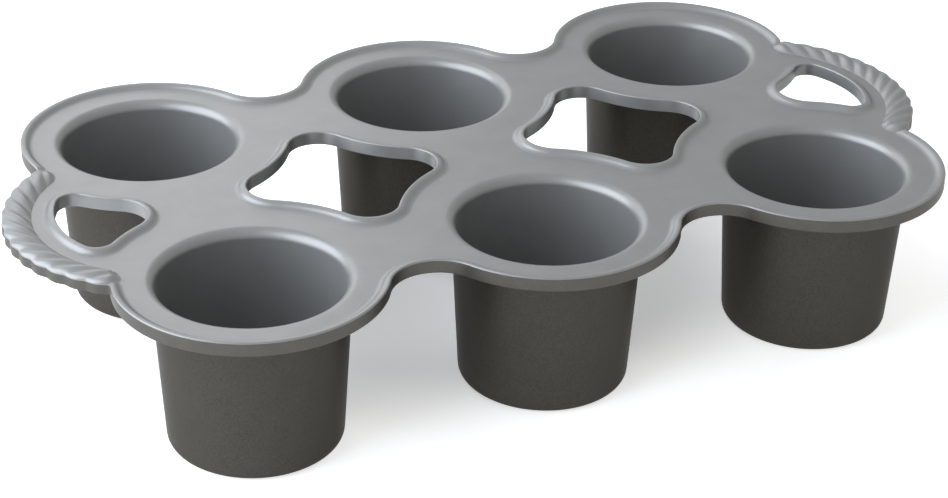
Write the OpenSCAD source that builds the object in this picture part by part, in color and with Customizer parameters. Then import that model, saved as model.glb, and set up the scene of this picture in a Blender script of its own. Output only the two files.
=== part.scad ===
// Six-cup popover pan: deep round cups hung in a flat cast deck, with a rope-twist grip at each end.
// The origin is at the middle of the cups' bottoms, +X runs along the pan and +Z is up.

/* [Cups] */
// Distance between neighbouring cups along the pan
cup_pitch_x = 124; // [112:1:136]
// Distance between the two rows of cups
cup_pitch_y = 128; // [116:1:140]
// Inside radius of a cup just below its rounded mouth
mouth_r = 36.2; // [32:0.1:38]
// Radius of the rounded edge between the deck and the inside of a cup
mouth_round = 4.3; // [2:0.1:5]
// Thickness of a cup's side wall
wall_t = 2.1; // [1.5:0.1:3]
// Thickness of a cup's bottom
bottom_t = 2.6; // [2:0.1:4]
// Lean of a cup's wall from the vertical, in degrees
draft = 3.3; // [1:0.1:6]
// Outside radius of the corner between a cup's wall and its bottom
foot_round = 4.6; // [3:0.1:8]
// Inside radius of the corner between a cup's wall and its bottom
floor_round = 3; // [1:0.1:6]
// Radius of the fillet between a cup's outside wall and the deck
root_round = 2.6; // [1:0.1:4]
// Height of the deck's underside above the cups' bottoms
deck_rise = 66.5; // [50:0.5:90]

/* [Deck] */
// Thickness of the deck
deck_t = 4; // [3:0.1:6]
// Radius of the deck's round edge about each cup
lobe_r = 53.1; // [50:0.1:56]
// Radius of the hollow in the deck's edge between two lobes
valley_r = 18.5; // [15:0.1:24]
// Flat land kept between a cup's round mouth and the seam about it
seat_land = 1.4; // [0.5:0.1:2]

/* [Edge bead] */
// Height of the bead above the deck
bead_h = 2; // [1:0.1:3]
// Radius of both curves of the bead's inner slope
slope_r = 3.2; // [2:0.1:4]
// Radius of the bead's outer edge
edge_r = 0.6; // [0.4:0.1:1.6]

/* [Windows] */
// Distance from a cup's centre to the wall of a window or finger hole
window_r = 59.3; // [57:0.1:61]
// Radius of a window's corners that point along the pan
end_corner_r = 13.7; // [11:0.1:16]
// Radius of a window's corners that point across the pan
side_corner_r = 12.4; // [10:0.1:15]

/* [Grips] */
// How far the centre of the grip's arc lies inside the tips of the end lobes
grip_inset = 40.1; // [35:0.1:45]
// Radius of the grip's inner edge
grip_r = 52.8; // [50:0.1:56]
// Width of the rope-twist grip
grip_w = 11.8; // [9:0.1:14]
// Width of the deck between the finger hole and the grip
band_w = 9; // [8:0.1:12]
// Radius of the finger hole's two corners next to the grip
finger_corner_r = 6.5; // [5:0.1:8]
// Height of the strands' crowns above the deck
rope_h = 2.6; // [1.5:0.1:4]
// Depth of the grooves between the strands
groove_d = 1.3; // [0.5:0.1:2]
// Depth of the scallops that the strands make in the grip's outer wall
scallop_d = 0.9; // [0.5:0.1:2.5]
// Distance from one strand to the next along the grip
strand_pitch = 8.6; // [7:0.1:12]
// Angle between a strand and the grip's length, in degrees
lay_angle = 42; // [35:1:55]

/* [Hidden] */
$fn = 96;

casting = [0.66, 0.66, 0.65];
cup_casting = [0.42, 0.42, 0.41];

// Points and directions in the plane
function dir(a) = [cos(a), sin(a)];
function heading(p, q) = atan2(q.y - p.y, q.x - p.x);
// The angle at p in a triangle whose other two corners are q and a point at a from p and b from q
function angle_at(p, q, a, b) = let (d = norm(q - p)) acos((a * a + d * d - b * b) / (2 * a * d));
// The point at a from p and b from q, to the left of the way from p to q, or with turn = -1 to its right
function meet(p, q, a, b, turn = 1) = p + a * dir(heading(p, q) + turn * angle_at(p, q, a, b));

// Heights of the deck's top face and of the bead's crown
deck_top = deck_rise + deck_t;
bead_top = deck_top + bead_h;

// Cup centres lie on three columns and two rows
column = [-cup_pitch_x, 0, cup_pitch_x];
row_y = cup_pitch_y / 2;

// Cup: the inside wall leaves the mouth's rounded edge at its tangent point
mouth_flat_r = mouth_r + mouth_round;
mouth_c = [mouth_flat_r, deck_top - mouth_round];
throat = mouth_c + mouth_round * [-cos(draft), sin(draft)];
function inside_r(z) = throat.x - (throat.y - z) * tan(draft);
function outside_r(z) = inside_r(z) + wall_t / cos(draft);
floor_z = bottom_t + floor_round;
seat_r = max(mouth_flat_r, outside_r(deck_rise) + root_round) + seat_land;

// Bead: two equal curves climb to the crown and a smaller one turns down to the wall
slope_a = acos(1 - bead_h / (2 * slope_r));
bead_w = 2 * slope_r * sin(slope_a) + edge_r;
// Centre of each hollow between two lobes, from the lobe's centre
hollow = meet([0, 0], [cup_pitch_x, 0], lobe_r + valley_r, lobe_r + valley_r);
hollow_a = heading([0, 0], hollow);

// Corner centres of a window, from the window's centre, with the cup beyond the corner between them
window_cup = [cup_pitch_x / 2, row_y];
end_corner = meet(window_cup, [window_cup.x, -row_y], window_r + end_corner_r, window_r + end_corner_r, -1);
side_corner = meet(window_cup, [-window_cup.x, row_y], window_r + side_corner_r, window_r + side_corner_r);

// The finger hole lies between two lobes and the grip: its centres, from the middle of the end column
end_cup = [0, row_y];
grip_c = [lobe_r - grip_inset, 0];
finger_r = grip_r - band_w;
inner_corner = [window_cup.x - end_corner.x, 0];
outer_corner = meet(grip_c, end_cup, finger_r - finger_corner_r, window_r + finger_corner_r, -1);

// Grip: its middle line, and the angle on the lobe at which an arc of radius r about grip_c meets it
grip_mid_r = grip_r + grip_w / 2;
function lobe_angle(r) = heading(end_cup, grip_c) + angle_at(end_cup, grip_c, lobe_r, r);
bead_end_a = lobe_angle(grip_mid_r);

// Points along an arc, ends included
function arc(c, r, a0, a1, steps = 6) = [for (i = [0:steps]) c + r * dir(a0 + (a1 - a0) * i / steps)];

// Cup, with the flat ring of deck about its mouth

module cup_section() {
    foot = [outside_r(foot_round) - foot_round / cos(draft), foot_round];
    root = [outside_r(deck_rise - root_round) + root_round / cos(draft), deck_rise - root_round];
    corner = [inside_r(floor_z) - floor_round / cos(draft), floor_z];
    polygon(concat(
        [[0, bottom_t], [0, 0]],
        arc(foot, foot_round, -90, -draft),
        arc(root, root_round, 180 - draft, 90),
        [[seat_r, deck_rise], [seat_r, deck_top]],
        arc(mouth_c, mouth_round, 90, 180 - draft, 8),
        arc(corner, floor_round, -draft, -90)));
}

module cup(c, row) {
    color(cup_casting)
    translate([column[c], row * row_y, 0])
    rotate_extrude() cup_section();
}

module cup_front_left() { cup(0, -1); }
module cup_front_middle() { cup(1, -1); }
module cup_front_right() { cup(2, -1); }
module cup_back_left() { cup(0, 1); }
module cup_back_middle() { cup(1, 1); }
module cup_back_right() { cup(2, 1); }

// Edges of the deck: each arc is a list of stations, and a station is a point with the way into the deck

// Furthest that a straight step strays from its arc
stray = 0.06;
function edge(c, r, a0, a1, inside) =
    let (n = ceil(abs(a1 - a0) / (2 * acos(1 - stray / r))))
    [for (i = [1:n]) let (a = a0 + (a1 - a0) * i / n) [c + r * dir(a), (inside ? -1 : 1) * dir(a)]];
function turned(stations) = [for (s = stations) [-s[0], -s[1]]];
function spots(stations) = [for (s = stations) s[0]];

// The rim runs along the back from the right grip to the left one
function rim(a) =
    let (c = [cup_pitch_x, row_y], h = [hollow.x, row_y + hollow.y], end_a = hollow_a)
    concat(
        [[c + lobe_r * dir(a), -dir(a)]],
        edge(c, lobe_r, a, 180 - end_a, true),
        edge([h.x, h.y], valley_r, 360 - end_a, 180 + end_a, false),
        edge([0, row_y], lobe_r, end_a, 180 - end_a, true),
        edge([-h.x, h.y], valley_r, 360 - end_a, 180 + end_a, false),
        edge([-c.x, c.y], lobe_r, end_a, 180 - a, true));

function window_edge() =
    let (end_a = heading(end_corner, window_cup), side_a = heading(side_corner, window_cup),
         half = concat(
             edge(end_corner, end_corner_r, -end_a, end_a, false),
             edge(window_cup, window_r, 180 + end_a, 180 + side_a, true),
             edge(side_corner, side_corner_r, side_a, 180 - side_a, false),
             edge([-window_cup.x, window_cup.y], window_r, -side_a, -end_a, true)))
    concat(half, turned(half));

function finger_edge() =
    let (in_a = heading(inner_corner, end_cup), out_a = heading(grip_c, outer_corner),
         turn_a = heading(outer_corner, end_cup))
    concat(
        edge(grip_c, finger_r, -out_a, out_a, false),
        edge(outer_corner, finger_corner_r, out_a, turn_a, false),
        edge(end_cup, window_r, turn_a - 180, in_a - 180, true),
        edge(inner_corner, end_corner_r, in_a, 360 - in_a, false),
        edge(-end_cup, window_r, 180 - in_a, 180 - turn_a, true),
        edge([outer_corner.x, -outer_corner.y], finger_corner_r, -turn_a, -out_a, false));

// Deck: one flat plate with a hole for each cup, window and finger hole

module at_cups() {
    for (x = column, y = [-row_y, row_y]) translate([x, y]) children();
}
module at_windows() {
    for (x = [-window_cup.x, window_cup.x]) translate([x, 0, 0]) children();
}

function deck_outline() =
    let (grip_edge = [for (p = grip_arc(-1)) p + [cup_pitch_x, 0]], back = spots(rim(lobe_angle(grip_r))))
    concat(grip_edge, back, -grip_edge, -back);

module deck() {
    color(casting)
    translate([0, 0, deck_rise]) linear_extrude(deck_t) difference() {
        polygon(deck_outline());
        at_windows() polygon(spots(window_edge()));
        for (m = [0, 1]) mirror([m, 0]) translate([cup_pitch_x, 0]) polygon(spots(finger_edge()));
        at_cups() circle(seat_r);
    }
}

// Bead: one section swept along an edge, flush with the deck's wall and fading into its top face

function bead_section() = concat(
    [[0, deck_top]],
    arc([-edge_r, bead_top - edge_r], edge_r, 0, 90, 2),
    arc([-edge_r, bead_top - slope_r], slope_r, 90 + slope_a / 2, 90 + slope_a, 1),
    arc([-bead_w, deck_top + slope_r], slope_r, slope_a / 2 - 90, -90, 1));

module bead(stations, closed) {
    section = bead_section();
    n = len(section);
    m = len(stations);
    points = [for (s = stations, q = section) let (p = s[0] - q.x * s[1]) [p.x, p.y, q.y]];
    sides = [for (i = [0:closed ? m - 1 : m - 2], j = [0:n - 1])
        let (k = (j + 1) % n, a = i * n, b = (i + 1) % m * n)
        each [[a + j, a + k, b + j], [b + j, a + k, b + k]]];
    ends = closed ? [] : [[for (j = [n - 1:-1:0]) j], [for (j = [0:n - 1]) (m - 1) * n + j]];
    color(casting) polyhedron(points, concat(sides, ends));
}

module rim_back() { bead(rim(bead_end_a), false); }
module rim_front() { bead(turned(rim(bead_end_a)), false); }
module window_rim(x) { translate([x, 0, 0]) bead(window_edge(), true); }
module window_rim_left() { window_rim(-window_cup.x); }
module window_rim_right() { window_rim(window_cup.x); }
module finger_rim() { translate([cup_pitch_x, 0, 0]) bead(finger_edge(), true); }
module finger_rim_left() { mirror([1, 0, 0]) finger_rim(); }
module finger_rim_right() { finger_rim(); }

// Grip: a swept moulding whose diagonal strands wrap over its outer wall

groove_round = 0.5;
across = 8;
steps_per_strand = 10;
strand_run = grip_w / 2 / tan(lay_angle);
// Half the angle that an arc of radius r spans between the two lobes
function half_span(r) = heading(grip_c, end_cup) - angle_at(grip_c, end_cup, r, lobe_r);
stations = ceil(2 * half_span(grip_mid_r) * grip_mid_r * PI / 180 / strand_pitch * steps_per_strand);

// Points of the grip's foot, along its inner edge with side = -1 or its outer edge with side = 1
function grip_arc(side) =
    let (r = grip_mid_r + side * grip_w / 2)
    [for (i = [0:stations]) grip_c + r * dir((2 * i / stations - 1) * half_span(r))];

// How deep a point lies between two strands, from 0 on a crown to 1 in a groove
function groove(a, u) =
    let (turns = (a * grip_mid_r * PI / 180 - u * strand_run) / strand_pitch,
         w = abs(2 * (turns - floor(turns)) - 1))
    w * w * (1 - groove_round * w) / (1 - groove_round);

// One section of the grip at t, from 0 at one lobe to 1 at the other: the crown's points, then the foot's
function grip_point(t, u, top) =
    let (r0 = grip_mid_r + u * grip_w / 2,
         a = (2 * t - 1) * half_span(r0),
         g = groove(a, u),
         r = r0 - scallop_d * g * pow(max(u, 0), 4),
         rise = sqrt(max(1 - u * u, 0)))
    [r * cos(a), r * sin(a), top ? deck_top + rise * (rope_h - groove_d * g) : deck_rise];
function grip_section(t) = concat(
    [for (j = [0:across]) grip_point(t, -cos(180 * j / across), true)],
    [grip_point(t, 1, false), grip_point(t, -1, false)]);

module grip() {
    n = across + 3;
    points = [for (i = [0:stations]) each grip_section(i / stations)];
    sides = [for (i = [0:stations - 1], j = [0:n - 1]) let (k = (j + 1) % n, a = i * n, b = a + n)
        each [[a + j, b + j, a + k], [b + j, b + k, a + k]]];
    last = stations * n;
    ends = [for (j = [0:n - 3]) each [[n - 1, j, j + 1], [last + n - 1, last + j + 1, last + j]]];
    color(casting)
    translate([cup_pitch_x + grip_c.x, 0, 0])
    polyhedron(points, concat(sides, ends));
}

module grip_left() { mirror([1, 0, 0]) grip(); }
module grip_right() { grip(); }

deck();
rim_front();
rim_back();
window_rim_left();
window_rim_right();
finger_rim_left();
finger_rim_right();
cup_front_left();
cup_front_middle();
cup_front_right();
cup_back_left();
cup_back_middle();
cup_back_right();
grip_left();
grip_right();
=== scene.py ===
"""Looks of a six-cup popover pan: one aluminium casting with deep cups and rope-twist grips.

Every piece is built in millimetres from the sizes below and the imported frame, and becomes a mesh in metres.
"""

import logging
import math
from dataclasses import dataclass, field
from enum import Enum, IntEnum

import bmesh
import bpy
from mathutils import Matrix, Vector
from mathutils.geometry import tessellate_polygon


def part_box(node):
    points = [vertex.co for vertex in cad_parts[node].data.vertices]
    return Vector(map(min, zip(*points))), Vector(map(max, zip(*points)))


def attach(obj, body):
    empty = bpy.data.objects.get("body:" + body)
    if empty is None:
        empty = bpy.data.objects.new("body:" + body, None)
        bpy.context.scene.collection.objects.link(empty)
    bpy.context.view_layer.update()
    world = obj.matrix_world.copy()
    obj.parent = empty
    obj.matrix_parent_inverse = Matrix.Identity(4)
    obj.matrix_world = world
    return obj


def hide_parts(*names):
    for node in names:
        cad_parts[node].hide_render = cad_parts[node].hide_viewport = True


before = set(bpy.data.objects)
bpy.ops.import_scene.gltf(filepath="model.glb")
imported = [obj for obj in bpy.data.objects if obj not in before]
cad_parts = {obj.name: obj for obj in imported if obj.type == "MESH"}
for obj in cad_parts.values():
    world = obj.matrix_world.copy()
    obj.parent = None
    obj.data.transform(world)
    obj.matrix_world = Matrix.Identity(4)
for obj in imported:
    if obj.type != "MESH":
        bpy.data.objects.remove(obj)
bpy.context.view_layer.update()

LOG = logging.getLogger("popover_pan")
ROOT = "root"
MM = 0.001

# Numbers of the colour mix node's sockets, whose names it shares with the sockets of its other modes
MIX_A, MIX_B, MIX_RESULT = 6, 7, 2

Point = tuple[float, float, float]
Spot = tuple[float, float]
Loop = list[int]
Materials = list[bpy.types.Material]


class Slot(Enum):
    """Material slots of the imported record."""

    DECK = "deck_casting"
    CUP = "cup_casting"


class Finish(IntEnum):
    """Finish of a face, numbered in the order of each piece's materials."""

    COATED = 0
    GRAIN = 1
    GROUND = 2


class Side(Enum):
    """End of the pan, with the sign of X there."""

    LEFT = -1
    RIGHT = 1


class Row(Enum):
    """Row of cups, with the sign of Y there."""

    FRONT = -1
    BACK = 1


def linear(hex_colour: str) -> tuple[float, float, float, float]:
    """Turn an sRGB hex colour into the linear colour that a shader takes.

    Args:
        hex_colour: colour as "#rrggbb".

    Returns:
        Red, green, blue and alpha, linear, from 0 to 1.
    """
    levels = [int(hex_colour[i:i + 2], 16) / 255 for i in (1, 3, 5)]
    red, green, blue = (v / 12.92 if v <= 0.04045 else ((v + 0.055) / 1.055) ** 2.4 for v in levels)
    return (red, green, blue, 1.0)


def direction(angle: float) -> Spot:
    """Return the unit vector at an angle in degrees."""
    return (math.cos(math.radians(angle)), math.sin(math.radians(angle)))


def heading(start: Spot, end: Spot) -> float:
    """Return the angle in degrees of the way from start to end."""
    return math.degrees(math.atan2(end[1] - start[1], end[0] - start[0]))


def ease(share: float) -> float:
    """Return a share from 0 to 1 moved onto a smooth curve that is flat at both ends."""
    return share * share * (3 - 2 * share)


def angle_at(start: Spot, end: Spot, near: float, far: float) -> float:
    """Return a triangle's angle at start, in degrees, from the distances near and far to its third corner."""
    span = math.dist(start, end)
    return math.degrees(math.acos((near * near + span * span - far * far) / (2 * near * span)))


def meet(start: Spot, end: Spot, near: float, far: float, turn: int = 1) -> Spot:
    """Return the point near from start and far from end, left of their line, or right if turn is -1."""
    ux, uy = direction(heading(start, end) + turn * angle_at(start, end, near, far))
    return (start[0] + near * ux, start[1] + near * uy)


def arc_points(centre: Spot, radius: float, first: float, last: float, steps: int) -> list[Spot]:
    """Return the points of an arc from one angle in degrees to another, both ends included."""
    ways = [direction(first + (last - first) * i / steps) for i in range(steps + 1)]
    return [(centre[0] + radius * ux, centre[1] + radius * uy) for ux, uy in ways]


@dataclass(frozen=True)
class Station:
    """One point of a deck edge."""

    spot: Spot
    inward: Spot
    height: float = 1.0

    def turned(self) -> "Station":
        """Return the station turned by half a turn about the origin."""
        return Station((-self.spot[0], -self.spot[1]), (-self.inward[0], -self.inward[1]), self.height)

    def mirrored(self) -> "Station":
        """Return the station mirrored from the right end to the left one."""
        return Station((-self.spot[0], self.spot[1]), (-self.inward[0], self.inward[1]), self.height)

    def moved(self, offset: float) -> "Station":
        """Return the station moved along X by offset."""
        return Station((self.spot[0] + offset, self.spot[1]), self.inward, self.height)

    def at(self, depth: float, z: float) -> Point:
        """Return the point at a depth into the deck and at a height."""
        return (self.spot[0] + depth * self.inward[0], self.spot[1] + depth * self.inward[1], z)


def edge(centre: Spot, radius: float, first: float, last: float, inside: bool) -> list[Station]:
    """Return the stations of one arc of a deck edge, its first end left out.

    Args:
        centre: the arc's centre.
        radius: its radius.
        first: angle at its start, in degrees.
        last: angle at its end, in degrees.
        inside: whether the deck lies inside the arc.

    Returns:
        Stations along the arc.
    """
    step_length, least_steps = 1.0, 6
    steps = max(least_steps, math.ceil(abs(last - first) * math.radians(radius) / step_length))
    ways = [direction(first + (last - first) * i / steps) for i in range(1, steps + 1)]
    sign = -1 if inside else 1
    return [Station((centre[0] + radius * ux, centre[1] + radius * uy), (sign * ux, sign * uy))
            for ux, uy in ways]


@dataclass(frozen=True)
class PanSizes:
    """Sizes of the casting in millimetres and degrees. Heights, pitches and the seat come from the frame.

    The outline follows lobes about the cups and hollows between them. Windows and finger holes keep window_r
    from the cups' centres, and their corners are rounded. The grip's arc is centred grip_offset outside the
    end column, and band_w is the deck between it and the finger hole. The bead climbs in curves of slope_r and
    turns down to the wall by edge_r, and root_round is the fillet under the deck.
    """

    mouth_r: float = 36.2
    mouth_round: float = 4.3
    wall_t: float = 2.1
    bottom_t: float = 2.6
    draft: float = 3.3
    foot_round: float = 4.6
    floor_round: float = 3.0
    root_round: float = 2.6
    lobe_r: float = 53.1
    valley_r: float = 18.5
    bead_h: float = 2.0
    slope_r: float = 3.2
    edge_r: float = 0.6
    lower_round: float = 0.7
    window_r: float = 59.3
    end_corner_r: float = 13.7
    side_corner_r: float = 12.4
    grip_offset: float = 13.0
    grip_r: float = 52.8
    grip_w: float = 11.8
    band_w: float = 9.0
    finger_corner_r: float = 6.5
    rope_h: float = 2.6
    strand_pitch: float = 8.6
    lay_angle: float = 42.0
    deck_rise: float = field(default_factory=lambda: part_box("deck")[0][2] / MM)
    deck_top: float = field(default_factory=lambda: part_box("deck")[1][2] / MM)
    pitch_x: float = field(default_factory=lambda: cup_middle("cup_back_right")[0])
    row_y: float = field(default_factory=lambda: cup_middle("cup_back_right")[1])
    seat_r: float = field(default_factory=lambda: cup_seat("cup_back_right"))

    @property
    def slope_a(self) -> float:
        """Steepest angle of the bead's inner slope, in degrees."""
        return math.degrees(math.acos(1 - self.bead_h / (2 * self.slope_r)))

    @property
    def bead_w(self) -> float:
        """Width of the bead from the wall to its foot."""
        return 2 * self.slope_r * math.sin(math.radians(self.slope_a)) + self.edge_r

    @property
    def hollow(self) -> Spot:
        """Centre of the hollow between two lobes, from the left one's centre."""
        reach = self.lobe_r + self.valley_r
        return meet((0, 0), (self.pitch_x, 0), reach, reach)

    @property
    def window_cup(self) -> Spot:
        """Centre of a cup next to a window, from the window's centre."""
        return (self.pitch_x / 2, self.row_y)

    @property
    def end_corner(self) -> Spot:
        """Centre of a window's corner that points along the pan.

        Returns:
            The centre, from the window's centre.
        """
        x, y = self.window_cup
        reach = self.window_r + self.end_corner_r
        return meet((x, y), (x, -y), reach, reach, -1)

    @property
    def side_corner(self) -> Spot:
        """Centre of a window's corner that points across the pan.

        Returns:
            The centre, from the window's centre.
        """
        x, y = self.window_cup
        reach = self.window_r + self.side_corner_r
        return meet((x, y), (-x, y), reach, reach)

    @property
    def end_cup(self) -> Spot:
        """Centre of the back end cup, from the middle of its column."""
        return (0.0, self.row_y)

    @property
    def grip_c(self) -> Spot:
        """Centre of the grip's arc, from the middle of the end column."""
        return (self.grip_offset, 0.0)

    @property
    def finger_r(self) -> float:
        """Radius of the finger hole's edge next to the grip."""
        return self.grip_r - self.band_w

    @property
    def inner_corner(self) -> Spot:
        """Centre of the finger hole's corner that points to the pan's middle."""
        return (self.window_cup[0] - self.end_corner[0], 0.0)

    @property
    def outer_corner(self) -> Spot:
        """Centre of the finger hole's back corner next to the grip."""
        return meet(self.grip_c, self.end_cup, self.finger_r - self.finger_corner_r,
                    self.window_r + self.finger_corner_r, -1)

    @property
    def grip_mid_r(self) -> float:
        """Radius of the grip's middle line."""
        return self.grip_r + self.grip_w / 2

    def lobe_angle(self, radius: float) -> float:
        """Return the angle on the back end lobe at which an arc about the grip's centre meets it."""
        return heading(self.end_cup, self.grip_c) + angle_at(self.end_cup, self.grip_c, self.lobe_r, radius)

    def half_span(self, radius: float, lobe_r: float) -> float:
        """Return half the angle that an arc about the grip's centre spans between end lobes of lobe_r."""
        return heading(self.grip_c, self.end_cup) - angle_at(self.grip_c, self.end_cup, radius, lobe_r)


def cup_middle(node: str) -> Spot:
    """Return the middle of a cup's node in plan, in millimetres."""
    low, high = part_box(node)
    return ((low[0] + high[0]) / 2 / MM, (low[1] + high[1]) / 2 / MM)


def cup_seat(node: str) -> float:
    """Return half the width of a cup's node across the pan, in millimetres."""
    low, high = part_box(node)
    return round((high[1] - low[1]) / 2 / MM, 3)


@dataclass
class Skin:
    """Closed surface made of points in millimetres, which becomes one Blender object.

    Edges that turn by more than the crease angle, in degrees, stay sharp.
    """

    name: str
    points: list[Point] = field(default_factory=list)
    faces: list[Loop] = field(default_factory=list)
    finishes: list[Finish] = field(default_factory=list)
    crease: float = 32.0

    def row(self, points: list[Point]) -> Loop:
        """Add a row of points.

        Args:
            points: the points in order.

        Returns:
            Their indices.
        """
        first = len(self.points)
        self.points.extend(points)
        return list(range(first, len(self.points)))

    def face(self, corners: Loop, finish: Finish) -> None:
        """Add a face with its finish."""
        self.faces.append(corners)
        self.finishes.append(finish)

    def bridge(self, rows: list[Loop], finishes: list[Finish], closed: bool) -> None:
        """Join neighbouring rows with faces of four corners.

        Args:
            rows: rows of equally many points.
            finishes: the finish between each point of a row and the next.
            closed: whether the last row joins the first one.
        """
        pairs = list(zip(rows, rows[1:])) + ([(rows[-1], rows[0])] if closed else [])
        for near, far in pairs:
            for j, finish in enumerate(finishes):
                k = (j + 1) % len(near)
                self.face([near[j], far[j], far[k], near[k]], finish)

    def cap(self, loops: list[Loop], finish: Finish) -> None:
        """Fill a flat outline and its holes with triangles.

        Args:
            loops: the outline's indices, then those of each hole.
            finish: the finish of its faces.
        """
        flat = [[Vector((self.points[i][0], self.points[i][1], 0)) for i in loop] for loop in loops]
        index = [i for loop in loops for i in loop]
        for a, b, c in tessellate_polygon(flat):
            self.face([index[a], index[b], index[c]], finish)

    def build(self, materials: Materials) -> bpy.types.Object:
        """Make the object, smooth but for its creases.

        Args:
            materials: one for each finish, in order.

        Returns:
            The object, linked to the scene.
        """
        mesh = bpy.data.meshes.new(self.name)
        mesh.from_pydata([[v * MM for v in p] for p in self.points], [], self.faces)
        for material in materials:
            mesh.materials.append(material)
        mesh.polygons.foreach_set("material_index", self.finishes)
        shell = bmesh.new()
        shell.from_mesh(mesh)
        bmesh.ops.recalc_face_normals(shell, faces=shell.faces)
        shell.to_mesh(mesh)
        shell.free()
        mesh.shade_smooth()
        mesh.set_sharp_from_angle(angle=math.radians(self.crease))
        thing = bpy.data.objects.new(self.name, mesh)
        bpy.context.scene.collection.objects.link(thing)
        return thing


def add_node(tree: bpy.types.NodeTree, kind: str, settings: dict[str, object] | None = None,
             links: dict[str, bpy.types.NodeSocket] | None = None, **values: object) -> bpy.types.Node:
    """Add a node with its settings and links.

    Args:
        tree: the tree that gets the node.
        kind: the node's type name.
        settings: properties of the node itself.
        links: sockets that feed its inputs, by input name.
        **values: constants for its inputs, by name with _ for a space.

    Returns:
        The node.
    """
    node = tree.nodes.new(kind)
    for key, value in (settings or {}).items():
        setattr(node, key, value)
    for key, value in values.items():
        node.inputs[key.replace("_", " ")].default_value = value
    for key, socket in (links or {}).items():
        tree.links.new(socket, node.inputs[key])
    return node


@dataclass(frozen=True)
class CastingFinish:
    """Cast aluminium with a grain, soft blotches of tone and a rough or satin surface.

    A grain_share of 1 takes the tone from the grain alone, and 0 from the blotches alone. A metallic value
    below 1 stands for a pigmented coat over the metal, and specular is the gloss of that coat. The glancing
    colour tints what the surface mirrors at a flat angle. The spans are the stretches of a noise that are
    spread over the tone and the roughness, and each detail is a noise's octaves and their falloff.
    """

    name: str
    dark: str
    light: str
    roughness: float
    roughness_swing: float
    grain_mm: float
    grain_depth_mm: float
    blotch_mm: float
    grain_share: float
    metallic: float = 1.0
    specular: float = 0.5
    glancing: str = "#ffffff"
    tone_span: Spot = (0.32, 0.68)
    rough_span: Spot = (0.3, 0.7)
    blotch_detail: Spot = (5.0, 0.6)
    grain_detail: Spot = (3.0, 0.65)

    def material(self) -> bpy.types.Material:
        """Build the material: one noise for the grain, one for the blotches, and the shader that they feed.

        Returns:
            The material.
        """
        material = bpy.data.materials.new(self.name)
        material.use_nodes = True
        tree = material.node_tree
        tree.nodes.clear()
        place = add_node(tree, "ShaderNodeTexCoord").outputs["Object"]
        blotch = add_node(tree, "ShaderNodeTexNoise", {}, {"Vector": place},
                          Scale=1 / (self.blotch_mm * MM), Detail=self.blotch_detail[0],
                          Roughness=self.blotch_detail[1])
        grain = add_node(tree, "ShaderNodeTexNoise", {}, {"Vector": place},
                         Scale=1 / (self.grain_mm * MM), Detail=self.grain_detail[0],
                         Roughness=self.grain_detail[1])
        mixed = add_node(tree, "ShaderNodeMix", {},
                         {"A": blotch.outputs["Fac"], "B": grain.outputs["Fac"]}, Factor=self.grain_share)
        tone = add_node(tree, "ShaderNodeMapRange", {}, {"Value": mixed.outputs[0]},
                        From_Min=self.tone_span[0], From_Max=self.tone_span[1])
        colour = add_node(tree, "ShaderNodeMix", {"data_type": "RGBA"}, {"Factor": tone.outputs[0]})
        colour.inputs[MIX_A].default_value = linear(self.dark)
        colour.inputs[MIX_B].default_value = linear(self.light)
        rough = add_node(tree, "ShaderNodeMapRange", {}, {"Value": grain.outputs["Fac"]},
                         From_Min=self.rough_span[0], From_Max=self.rough_span[1],
                         To_Min=self.roughness - self.roughness_swing,
                         To_Max=self.roughness + self.roughness_swing)
        bump = add_node(tree, "ShaderNodeBump", {}, {"Height": grain.outputs["Fac"]},
                        Strength=1.0, Distance=self.grain_depth_mm * MM)
        shader = add_node(tree, "ShaderNodeBsdfPrincipled", {},
                          {"Base Color": colour.outputs[MIX_RESULT], "Roughness": rough.outputs[0],
                           "Normal": bump.outputs[0]},
                          Metallic=self.metallic, Specular_IOR_Level=self.specular,
                          Specular_Tint=linear(self.glancing))
        add_node(tree, "ShaderNodeOutputMaterial", {}, {"Surface": shader.outputs[0]})
        return material


# Satin silver coating on cast aluminium: broad, milky highlights with only a trace of the casting's grain.
# The real grain is about 0.3 mm, finer than the render shows, so here and below it is drawn a little coarser
SATIN_COATING = CastingFinish(
    "satin_coated_cast_aluminium", "#898a89", "#939493", roughness=0.38, roughness_swing=0.03, grain_mm=0.5,
    grain_depth_mm=0.015, blotch_mm=14.0, grain_share=0.5, metallic=0.45, glancing="#b8b8b8")
# Outside as cast, under a thin matt coat: sand-fine grain breaks up every highlight, and shadows itself at a
# glancing view, so that the cups' sides turn dark
CAST_GRAIN = CastingFinish(
    "sand_grain_cast_aluminium", "#413f3a", "#504d47", roughness=0.42, roughness_swing=0.06, grain_mm=0.8,
    grain_depth_mm=0.07, blotch_mm=9.0, grain_share=0.85, metallic=0.65, specular=0.2, glancing="#a8a8a8")
# Ground edge of the deck: warmer and duller than the coating, with the belt's marks worn soft
GROUND_EDGE = CastingFinish(
    "ground_cast_aluminium", "#52504c", "#5f5d58", roughness=0.5, roughness_swing=0.05, grain_mm=0.6,
    grain_depth_mm=0.05, blotch_mm=6.0, grain_share=0.7)

CASTING_FINISHES = {Finish.COATED: SATIN_COATING, Finish.GRAIN: CAST_GRAIN, Finish.GROUND: GROUND_EDGE}


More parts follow.
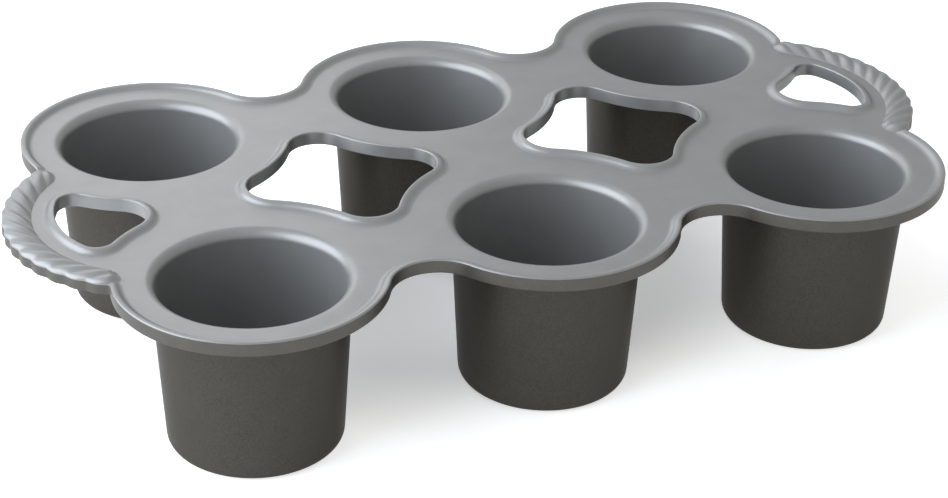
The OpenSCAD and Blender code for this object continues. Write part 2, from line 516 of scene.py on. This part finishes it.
@dataclass(frozen=True)
class Edges:
    """Edges of the deck as lists of stations.

    The rim's bead fades from its full height a little before a grip to nothing under the grip's end. Both
    lengths are in millimetres, outward and inward from the grip's outer edge.
    """

    sizes: PanSizes
    fade_out: float = 1.5
    fade_in: float = 4.5

    def rim(self, start: float) -> list[Station]:
        """Return the back rim from the right grip to the left one.

        Args:
            start: angle on the right end lobe at which the rim begins, in degrees.

        Returns:
            The stations in order.
        """
        s = self.sizes
        turn = heading((0, 0), s.hollow)
        x, y = s.pitch_x, s.row_y
        hx, hy = s.hollow[0], s.row_y + s.hollow[1]
        ux, uy = direction(start)
        first = Station((x + s.lobe_r * ux, y + s.lobe_r * uy), (-ux, -uy))
        return ([first]
                + edge((x, y), s.lobe_r, start, 180 - turn, True)
                + edge((hx, hy), s.valley_r, 360 - turn, 180 + turn, False)
                + edge((0, y), s.lobe_r, turn, 180 - turn, True)
                + edge((-hx, hy), s.valley_r, 360 - turn, 180 + turn, False)
                + edge((-x, y), s.lobe_r, turn, 180 - start, True))

    def fading_rim(self) -> list[Station]:
        """Return the back rim with its bead fading out under the grips' ends.

        Returns:
            The stations in order, with the bead's share of its full height.
        """
        s = self.sizes
        full = s.lobe_angle(s.grip_r + s.grip_w + self.fade_out)
        end = s.lobe_angle(s.grip_r + s.grip_w - self.fade_in)
        stations = self.rim(end)
        fade = math.radians(full - end) * s.lobe_r
        tip = stations[0].spot
        faded = []
        for station in stations:
            x = abs(station.spot[0])
            way = math.dist((x, station.spot[1]), tip)
            share = min(way / fade, 1.0) if x > s.pitch_x else 1.0
            faded.append(Station(station.spot, station.inward, ease(share)))
        return faded

    def window(self) -> list[Station]:
        """Return a window's edge about its own centre.

        Returns:
            The stations, anticlockwise.
        """
        s = self.sizes
        x, y = s.window_cup
        end_a = heading(s.end_corner, s.window_cup)
        side_a = heading(s.side_corner, s.window_cup)
        half = (edge(s.end_corner, s.end_corner_r, -end_a, end_a, False)
                + edge((x, y), s.window_r, 180 + end_a, 180 + side_a, True)
                + edge(s.side_corner, s.side_corner_r, side_a, 180 - side_a, False)
                + edge((-x, y), s.window_r, -side_a, -end_a, True))
        return half + [station.turned() for station in half]

    def finger_hole(self) -> list[Station]:
        """Return the right finger hole's edge, measured from the middle of its column.

        Returns:
            The stations, anticlockwise.
        """
        s = self.sizes
        in_a = heading(s.inner_corner, s.end_cup)
        out_a = heading(s.grip_c, s.outer_corner)
        turn_a = heading(s.outer_corner, s.end_cup)
        ox, oy = s.outer_corner
        return (edge(s.grip_c, s.finger_r, -out_a, out_a, False)
                + edge((ox, oy), s.finger_corner_r, out_a, turn_a, False)
                + edge(s.end_cup, s.window_r, turn_a - 180, in_a - 180, True)
                + edge(s.inner_corner, s.end_corner_r, in_a, 360 - in_a, False)
                + edge((0, -s.row_y), s.window_r, 180 - in_a, 180 - turn_a, True)
                + edge((ox, -oy), s.finger_corner_r, -turn_a, -out_a, False))

    def placed(self, stations: list[Station], side: Side, offset: float) -> list[Station]:
        """Return the right end's stations moved along the pan by offset, and mirrored for the left end."""
        moved = [station.moved(offset) for station in stations]
        return moved if side is Side.RIGHT else [station.mirrored() for station in moved][::-1]


@dataclass
class Deck:
    """Flat plate with the scalloped outline and all its holes."""

    sizes: PanSizes
    edges: Edges
    seat_steps: int = 180
    round_steps: int = 4

    def outline(self) -> list[Station]:
        """Return the whole outline, which runs under the grips' inner edges.

        Returns:
            The stations, anticlockwise.
        """
        s = self.sizes
        back = self.edges.rim(s.lobe_angle(s.grip_r))
        half = s.half_span(s.grip_r, s.lobe_r)
        grip = [station.moved(s.pitch_x)
                for station in edge(s.grip_c, s.grip_r, -half, half, True)[:-1]]
        return grip + back + [station.turned() for station in grip + back]

    def wall(self, skin: Skin, stations: list[Station], finish: Finish) -> tuple[Loop, Loop]:
        """Add the wall below an edge, rounded at the bottom.

        Args:
            skin: the skin that gets it.
            stations: the edge.
            finish: the wall's finish.

        Returns:
            Indices of the wall's upper and lower loops.
        """
        s = self.sizes
        r = s.lower_round
        corner = [(r - d, z) for d, z in arc_points((0, s.deck_rise + r), r, 0, -90, self.round_steps)]
        section = [(0.0, s.deck_top)] + corner
        rows = [skin.row([station.at(d, z) for d, z in section]) for station in stations]
        finishes = [finish] * (len(section) - 1)
        skin.bridge(rows, finishes, True)
        return [row[0] for row in rows], [row[-1] for row in rows]

    def seat(self, skin: Skin, middle: Spot) -> tuple[Loop, Loop]:
        """Add the upright wall round a cup.

        Args:
            skin: the skin that gets it.
            middle: the cup's centre.

        Returns:
            Indices of the wall's upper and lower loops.
        """
        s = self.sizes
        ring = arc_points(middle, s.seat_r, 0, 360, self.seat_steps)[:-1]
        rows = [skin.row([(x, y, s.deck_top), (x, y, s.deck_rise)]) for x, y in ring]
        skin.bridge(rows, [Finish.GRAIN], True)
        return [row[0] for row in rows], [row[1] for row in rows]

    def build(self, materials: Materials) -> bpy.types.Object:
        """Build and dress the deck.

        Args:
            materials: the pan's materials, one for each finish, in order.

        Returns:
            The deck.
        """
        s = self.sizes
        skin = Skin("deck_plate")
        loops = [self.wall(skin, self.outline(), Finish.GROUND)]
        for side in Side:
            window = self.edges.placed(self.edges.window(), side, s.pitch_x / 2)
            finger = self.edges.placed(self.edges.finger_hole(), side, s.pitch_x)
            loops.append(self.wall(skin, window, Finish.COATED))
            loops.append(self.wall(skin, finger, Finish.COATED))
        for x in (-s.pitch_x, 0.0, s.pitch_x):
            for row in Row:
                loops.append(self.seat(skin, (x, row.value * s.row_y)))
        skin.cap([top for top, _ in loops], Finish.COATED)
        skin.cap([low for _, low in loops], Finish.GRAIN)
        return finish_piece(skin.build(materials), ["deck"])


@dataclass
class Bead:
    """Raised bead along one edge, which rises from the deck's top face in one smooth curve."""

    sizes: PanSizes
    name: str
    node: str
    stations: list[Station]
    closed: bool
    slope_steps: int = 9
    edge_steps: int = 6

    def section(self) -> list[Spot]:
        """Return the section from the wall over the crown to the foot.

        Returns:
            Depths into the deck, with heights above it.
        """
        s = self.sizes
        rise = arc_points((s.edge_r, s.bead_h - s.edge_r), s.edge_r, 180, 90, self.edge_steps)
        crown = arc_points((s.edge_r, s.bead_h - s.slope_r), s.slope_r, 90, 90 - s.slope_a, self.slope_steps)
        foot = arc_points((s.bead_w, s.slope_r), s.slope_r, 270 - s.slope_a, 270, self.slope_steps)
        return [(0.0, 0.0)] + rise + crown[1:] + foot[1:]

    def build(self, materials: Materials) -> bpy.types.Object:
        """Build and dress the bead.

        Args:
            materials: the pan's materials, one for each finish, in order.

        Returns:
            The bead.
        """
        top = self.sizes.deck_top
        section = self.section()
        skin = Skin(self.name)
        rows = [skin.row([station.at(d, top + z * station.height) for d, z in section])
                for station in self.stations]
        wall = Finish.COATED if self.closed else Finish.GROUND
        skin.bridge(rows, [wall] + [Finish.COATED] * (len(section) - 1), self.closed)
        if not self.closed:
            skin.face(rows[0][::-1], Finish.COATED)
            skin.face(rows[-1], Finish.COATED)
        return finish_piece(skin.build(materials), [self.node])


@dataclass
class Cup:
    """Deep tapered cup with its rounded mouth, flat bottom and the flat ring that it hangs from."""

    sizes: PanSizes
    row: Row
    column: str
    x: float
    turns: int = 180
    mouth_steps: int = 14
    round_steps: int = 8

    def section(self) -> tuple[list[Spot], list[Finish]]:
        """Return the section from the middle of the floor, up over the mouth and down to the bottom.

        Returns:
            Radii with heights, and the finish of each stretch.
        """
        s = self.sizes
        lean = math.radians(s.draft)
        flat_r = s.mouth_r + s.mouth_round
        mouth = (flat_r, s.deck_top - s.mouth_round)
        throat = (mouth[0] - s.mouth_round * math.cos(lean), mouth[1] + s.mouth_round * math.sin(lean))

        def inside(z: float) -> float:
            """Return the inside radius at a height."""
            return throat[0] - (throat[1] - z) * math.tan(lean)

        def outside(z: float) -> float:
            """Return the outside radius at a height."""
            return inside(z) + s.wall_t / math.cos(lean)

        floor_z = s.bottom_t + s.floor_round
        corner = (inside(floor_z) - s.floor_round / math.cos(lean), floor_z)
        foot = (outside(s.foot_round) - s.foot_round / math.cos(lean), s.foot_round)
        root_z = s.deck_rise - s.root_round
        root = (outside(root_z) + s.root_round / math.cos(lean), root_z)
        upper = ([(0.0, s.bottom_t)]
                 + arc_points(corner, s.floor_round, -90, -s.draft, self.round_steps)
                 + arc_points(mouth, s.mouth_round, 180 - s.draft, 90, self.mouth_steps)
                 + [(s.seat_r, s.deck_top)])
        lower = ([(s.seat_r, s.deck_rise)]
                 + arc_points(root, s.root_round, 90, 180 - s.draft, self.round_steps)
                 + arc_points(foot, s.foot_round, -s.draft, -90, self.round_steps)
                 + [(0.0, 0.0)])
        kinds = [Finish.COATED] * (len(upper) - 1) + [Finish.GRAIN] * len(lower)
        return upper + lower, kinds

    def build(self, materials: Materials) -> bpy.types.Object:
        """Build and dress the cup.

        Args:
            materials: the pan's materials, one for each finish, in order.

        Returns:
            The cup.
        """
        node = f"cup_{self.row.name.lower()}_{self.column}"
        y = self.row.value * self.sizes.row_y
        section, kinds = self.section()
        skin = Skin(f"{node}_casting")
        inner = section[1:-1]
        rows = []
        for i in range(self.turns):
            ux, uy = direction(360 * i / self.turns)
            rows.append(skin.row([(self.x + r * ux, y + r * uy, z) for r, z in inner]))
        skin.bridge(rows, kinds[1:-1], True)
        skin.face([row[0] for row in rows], kinds[0])
        skin.face([row[-1] for row in rows][::-1], kinds[-1])
        return finish_piece(skin.build(materials), [node])


@dataclass
class Grip:
    """Rope-twist grip: rounded strands that lie slantwise over the bar and scallop its outer wall.

    Grooves are groove_d deep, more towards the inner edge by inner_gain, and their floors are rounded by
    valley_round. At each end the strands run on over the lobe by tip_run, and close in a round, bulging tip.
    """

    sizes: PanSizes
    side: Side
    groove_d: float = 0.95
    inner_gain: float = 0.5
    scallop_d: float = 0.8
    scallop_power: int = 4
    valley_round: float = 0.5
    tip_run: float = 5.0
    tip_round: float = 5.5
    tip_bulge: float = 4.5
    sink: float = 0.1
    across: int = 30
    steps_per_strand: int = 22

    def groove(self, angle: float, u: float) -> float:
        """Return how deep a point lies between two strands.

        Args:
            angle: place along the grip, in degrees about its centre.
            u: place across it, from -1 at the inner edge to 1 at the outer one.

        Returns:
            0 on a strand's crown, 1 at the bottom of a groove.
        """
        s = self.sizes
        run = s.grip_w / 2 / math.tan(math.radians(s.lay_angle))
        turns = (math.radians(angle) * s.grip_mid_r - u * run) / s.strand_pitch
        w = abs(2 * (turns - math.floor(turns)) - 1)
        return w * w * (1 - self.valley_round * w) / (1 - self.valley_round)

    def section(self, t: float) -> list[Point]:
        """Return one section of the right grip.

        Args:
            t: place along the grip, from 0 at the front lobe to 1 at the back one.

        Returns:
            Points from the inner edge over the strands to the outer edge, then along the foot.
        """
        s = self.sizes
        top, foot = [], []
        for j in range(self.across + 1):
            u = -math.cos(math.pi * j / self.across)
            radius = s.grip_mid_r + u * s.grip_w / 2
            half = s.half_span(radius, s.lobe_r - self.tip_run)
            angle = (2 * t - 1) * half
            groove = self.groove(angle, u)
            slope = math.sqrt(max(1 - u * u, 0.0))
            to_end = (half - abs(angle)) * math.radians(radius) - self.tip_bulge * (1 - slope)
            to_end = min(max(to_end / self.tip_round, 0.0), 1.0)
            full = ease(to_end)
            depth = self.groove_d * (1 - self.inner_gain * u) * groove
            height = (slope * slope if u < 0 else slope) * (s.rope_h - depth) * full - self.sink * (1 - full)
            scallop = self.scallop_d * groove * max(u, 0.0) ** self.scallop_power
            ux, uy = direction(angle)
            place = radius - scallop
            top.append((s.grip_c[0] + place * ux, place * uy, s.deck_top + height))
            limit = s.half_span(radius, s.lobe_r - s.lower_round / 2)
            ux, uy = direction(max(-limit, min(limit, angle)))
            place = radius - (s.lower_round if j == 0 else scallop)
            foot.append((s.grip_c[0] + place * ux, place * uy, s.deck_rise))
        return top + [foot[-1], foot[0]]

    def build(self, materials: Materials) -> bpy.types.Object:
        """Build and dress the grip.

        Args:
            materials: the pan's materials, one for each finish, in order.

        Returns:
            The grip.
        """
        s = self.sizes
        length = 2 * math.radians(s.half_span(s.grip_mid_r, s.lobe_r)) * s.grip_mid_r
        steps = math.ceil(length / s.strand_pitch * self.steps_per_strand)
        skin = Skin(f"rope_grip_{self.side.name.lower()}")
        rows = []
        for i in range(steps + 1):
            points = self.section(i / steps)
            rows.append(skin.row([(self.side.value * (s.pitch_x + x), y, z) for x, y, z in points]))
        kinds = [Finish.COATED] * self.across + [Finish.GROUND, Finish.GRAIN, Finish.GROUND]
        skin.bridge(rows, kinds, False)
        skin.face(rows[0][::-1], Finish.GRAIN)
        skin.face(rows[-1], Finish.GRAIN)
        return finish_piece(skin.build(materials), [f"grip_{self.side.name.lower()}"])


def finish_piece(piece: bpy.types.Object, nodes: list[str]) -> bpy.types.Object:
    """Tie a piece to the frame.

    Args:
        piece: the object.
        nodes: the CAD nodes that it stands for.

    Returns:
        The same object.
    """
    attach(piece, ROOT)
    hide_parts(*nodes)
    return piece


@dataclass
class Pan:
    """The whole casting, region by region."""

    sizes: PanSizes = field(default_factory=PanSizes)

    def beads(self) -> list[Bead]:
        """Return every bead of the deck.

        Returns:
            The beads of both rims, then those of each end's window and finger hole.
        """
        s = self.sizes
        edges = Edges(s)
        rim = edges.fading_rim()
        beads = [Bead(s, "rim_bead_back", "rim_back", rim, False),
                 Bead(s, "rim_bead_front", "rim_front", [station.turned() for station in rim], False)]
        for side in Side:
            end = side.name.lower()
            window = edges.placed(edges.window(), side, s.pitch_x / 2)
            finger = edges.placed(edges.finger_hole(), side, s.pitch_x)
            beads.append(Bead(s, f"window_bead_{end}", f"window_rim_{end}", window, True))
            beads.append(Bead(s, f"finger_bead_{end}", f"finger_rim_{end}", finger, True))
        return beads

    def cups(self) -> list[Cup]:
        """Return the cups of both rows."""
        columns = {"left": -self.sizes.pitch_x, "middle": 0.0, "right": self.sizes.pitch_x}
        return [Cup(self.sizes, row, column, x) for row in Row for column, x in columns.items()]

    def build(self) -> list[bpy.types.Object]:
        """Build every piece.

        Returns:
            The pieces, dressed and tied to the frame.
        """
        materials = [CASTING_FINISHES[finish].material() for finish in Finish]
        regions: list[Deck | Bead | Cup | Grip] = [
            Deck(self.sizes, Edges(self.sizes)), *self.beads(), *self.cups(),
            *(Grip(self.sizes, side) for side in Side)]
        return [region.build(materials) for region in regions]


@dataclass(frozen=True)
class Softbox:
    """Rectangular soft light, with its sizes in metres.

    Its place is given as the camera sees it: to the photograph's left, behind the pan, and up.
    """

    name: str
    place: Point
    aim: Point
    size: Spot
    watts: float
    colour: str

    def build(self, yaw: float) -> None:
        """Add the lamp.

        Args:
            yaw: how far the camera is turned about the pan, in degrees.
        """
        left, away, up = self.place
        ux, uy = direction(yaw)
        place = (-left * ux - away * uy, -left * uy + away * ux, up)
        light = bpy.data.lights.new(self.name, "AREA")
        light.shape = "RECTANGLE"
        light.size, light.size_y = self.size
        light.energy = self.watts
        light.color = linear(self.colour)[:3]
        lamp = bpy.data.objects.new(self.name, light)
        lamp.location = place
        lamp.rotation_euler = (Vector(self.aim) - Vector(place)).to_track_quat("-Z", "Y").to_euler()
        bpy.context.scene.collection.objects.link(lamp)


# Wide softbox close by on the left: the deck mirrors it softly and darkens towards the right
KEY_SOFTBOX = Softbox("key_softbox", place=(1.0, -0.24, 0.58), aim=(0, 0, 0.05), size=(1.7, 1.3), watts=29.5,
                      colour="#e8effb")
# Small, weak softbox at the back left: picks out the far edges
WINDOW_SOFTBOX = Softbox("window_softbox", place=(0.35, 0.7, 0.45), aim=(-0.08, 0, 0.07), size=(0.6, 0.6),
                         watts=1.5, colour="#ffffff")


@dataclass(frozen=True)
class Studio:
    """Light tent with a white paper floor, two softboxes and the photograph's camera.

    The floor glows for what the camera sees: dimmer by painted_shade_glow close to the pan, which paints a
    soft shade round it, and by far_glow beyond. The glow changes between two ellipses, whose half axes are the
    two shares in painted_shade_span of those in painted_shade_reach.
    """

    target_mm: Point = (-34.6, -70.0, 66.5)
    distance_mm: float = 924.1
    yaw: float = -24.85
    elevation: float = 28.45
    roll: float = 1.17
    lens_mm: float = 90.0
    lamps: tuple[Softbox, ...] = (KEY_SOFTBOX, WINDOW_SOFTBOX)
    room_light: float = 0.35
    floor_reach: float = 6.0
    paper_tones: tuple[str, str] = ("#f3f3f2", "#f7f7f6")
    paper_mottle_mm: float = 1.1
    # Painted shade: the floor's glow is dimmer inside these ellipses about the pan, so the floor looks shaded
    # there
    painted_shade_reach: Point = (0.21, 0.115, 1.0)
    painted_shade_span: Spot = (0.4, 0.92)
    painted_shade_glow: float = 0.3
    far_glow: float = 0.68

    def camera(self) -> None:
        """Place the camera where the photograph was taken from."""
        a, e, r = (math.radians(v) for v in (self.yaw, self.elevation, self.roll))
        back = Vector((math.sin(a) * math.cos(e), -math.cos(a) * math.cos(e), math.sin(e)))
        right = Vector((math.cos(a), math.sin(a), 0.0))
        up = back.cross(right)
        x_axis = math.cos(r) * right + math.sin(r) * up
        y_axis = -math.sin(r) * right + math.cos(r) * up
        lens = bpy.data.cameras.new("camera")
        lens.lens = self.lens_mm
        lens.sensor_fit = "HORIZONTAL"
        camera = bpy.data.objects.new("camera", lens)
        stand = (Vector(self.target_mm) + self.distance_mm * back) * MM
        turn = Matrix((x_axis, y_axis, back)).transposed().to_4x4()
        camera.matrix_world = Matrix.Translation(stand) @ turn
        bpy.context.scene.collection.objects.link(camera)
        bpy.context.scene.camera = camera

    def seen(self, tree: bpy.types.NodeTree) -> bpy.types.NodeSocket:
        """Add a factor for what the camera sees, whether directly, mirrored in metal or through glass.

        Args:
            tree: the tree that gets it.

        Returns:
            A socket that gives 1 for those rays and 0 for all others.
        """
        path = add_node(tree, "ShaderNodeLightPath")
        total = path.outputs["Is Camera Ray"]
        for name in ("Is Glossy Ray", "Is Transmission Ray"):
            both = add_node(tree, "ShaderNodeMath", {"operation": "MAXIMUM"}, {"Value": total})
            tree.links.new(path.outputs[name], both.inputs[1])
            total = both.outputs[0]
        return total

    def paper(self) -> bpy.types.Material:
        """Build the floor's matt white paper, whose own colour is mottled too finely to see from afar, and
        whose glow, dimmer near the pan, paints a soft shade round it.

        Returns:
            The material.
        """
        material = bpy.data.materials.new("white_paper_painted_shade")
        material.use_nodes = True
        tree = material.node_tree
        tree.nodes.clear()
        place = add_node(tree, "ShaderNodeTexCoord").outputs["Object"]
        mottle = add_node(tree, "ShaderNodeTexNoise", {}, {"Vector": place},
                          Scale=1 / (self.paper_mottle_mm * MM))
        tone = add_node(tree, "ShaderNodeMix", {"data_type": "RGBA"}, {"Factor": mottle.outputs["Fac"]})
        tone.inputs[MIX_A].default_value, tone.inputs[MIX_B].default_value = map(linear, self.paper_tones)
        paper = add_node(tree, "ShaderNodeBsdfDiffuse", {}, {"Color": tone.outputs[MIX_RESULT]})
        # Painted shade: the glow is dimmer inside an ellipse about the pan, which darkens the paper there as
        # if shaded
        spot = add_node(tree, "ShaderNodeVectorMath", {"operation": "DIVIDE"}, {"Vector": place})
        spot.inputs[1].default_value = self.painted_shade_reach
        far = add_node(tree, "ShaderNodeVectorMath", {"operation": "LENGTH"}, {"Vector": spot.outputs[0]})
        glow = add_node(tree, "ShaderNodeMapRange", {"interpolation_type": "SMOOTHSTEP"},
                        {"Value": far.outputs["Value"]},
                        From_Min=self.painted_shade_span[0], From_Max=self.painted_shade_span[1],
                        To_Min=self.painted_shade_glow, To_Max=self.far_glow)
        strength = add_node(tree, "ShaderNodeMath", {"operation": "MULTIPLY"}, {"Value": self.seen(tree)})
        tree.links.new(glow.outputs[0], strength.inputs[1])
        shine = add_node(tree, "ShaderNodeEmission", {}, {"Strength": strength.outputs[0]})
        both = add_node(tree, "ShaderNodeAddShader")
        tree.links.new(paper.outputs[0], both.inputs[0])
        tree.links.new(shine.outputs[0], both.inputs[1])
        add_node(tree, "ShaderNodeOutputMaterial", {}, {"Surface": both.outputs[0]})
        return material

    def floor(self) -> None:
        """Lay the floor, level with the cups' bottoms, where it catches the pan's shadow, deepened near the
        pan by painted shade.
        """
        reach = self.floor_reach
        mesh = bpy.data.meshes.new("floor")
        corners = [(-reach, -reach, 0), (reach, -reach, 0), (reach, reach, 0), (-reach, reach, 0)]
        mesh.from_pydata(corners, [], [(0, 1, 2, 3)])
        mesh.materials.append(self.paper())
        floor = bpy.data.objects.new("floor", mesh)
        bpy.context.scene.collection.objects.link(floor)

    def world(self) -> None:
        """Fill the surroundings with even white light, as in a light tent."""
        world = bpy.data.worlds.new("studio")
        world.use_nodes = True
        tree = world.node_tree
        tree.nodes.clear()
        level = add_node(tree, "ShaderNodeMix", {}, {"Factor": self.seen(tree)}, A=self.room_light, B=1.0)
        sky = add_node(tree, "ShaderNodeBackground", {}, {"Strength": level.outputs[0]},
                       Color=linear("#ffffff"))
        add_node(tree, "ShaderNodeOutputWorld", {}, {"Surface": sky.outputs[0]})
        bpy.context.scene.world = world

    def build(self) -> None:
        """Set up the whole stage."""
        self.camera()
        self.world()
        self.floor()
        for lamp in self.lamps:
            lamp.build(self.yaw)
        bpy.context.scene.view_settings.view_transform = "Standard"


def main() -> None:
    """Build the pan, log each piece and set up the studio."""
    logging.basicConfig(level=logging.INFO, format="%(name)s %(message)s")
    for piece in Pan().build():
        LOG.info("%s: %d faces", piece.name, len(piece.data.polygons))
    Studio().build()


if __name__ == "__main__":
    main()
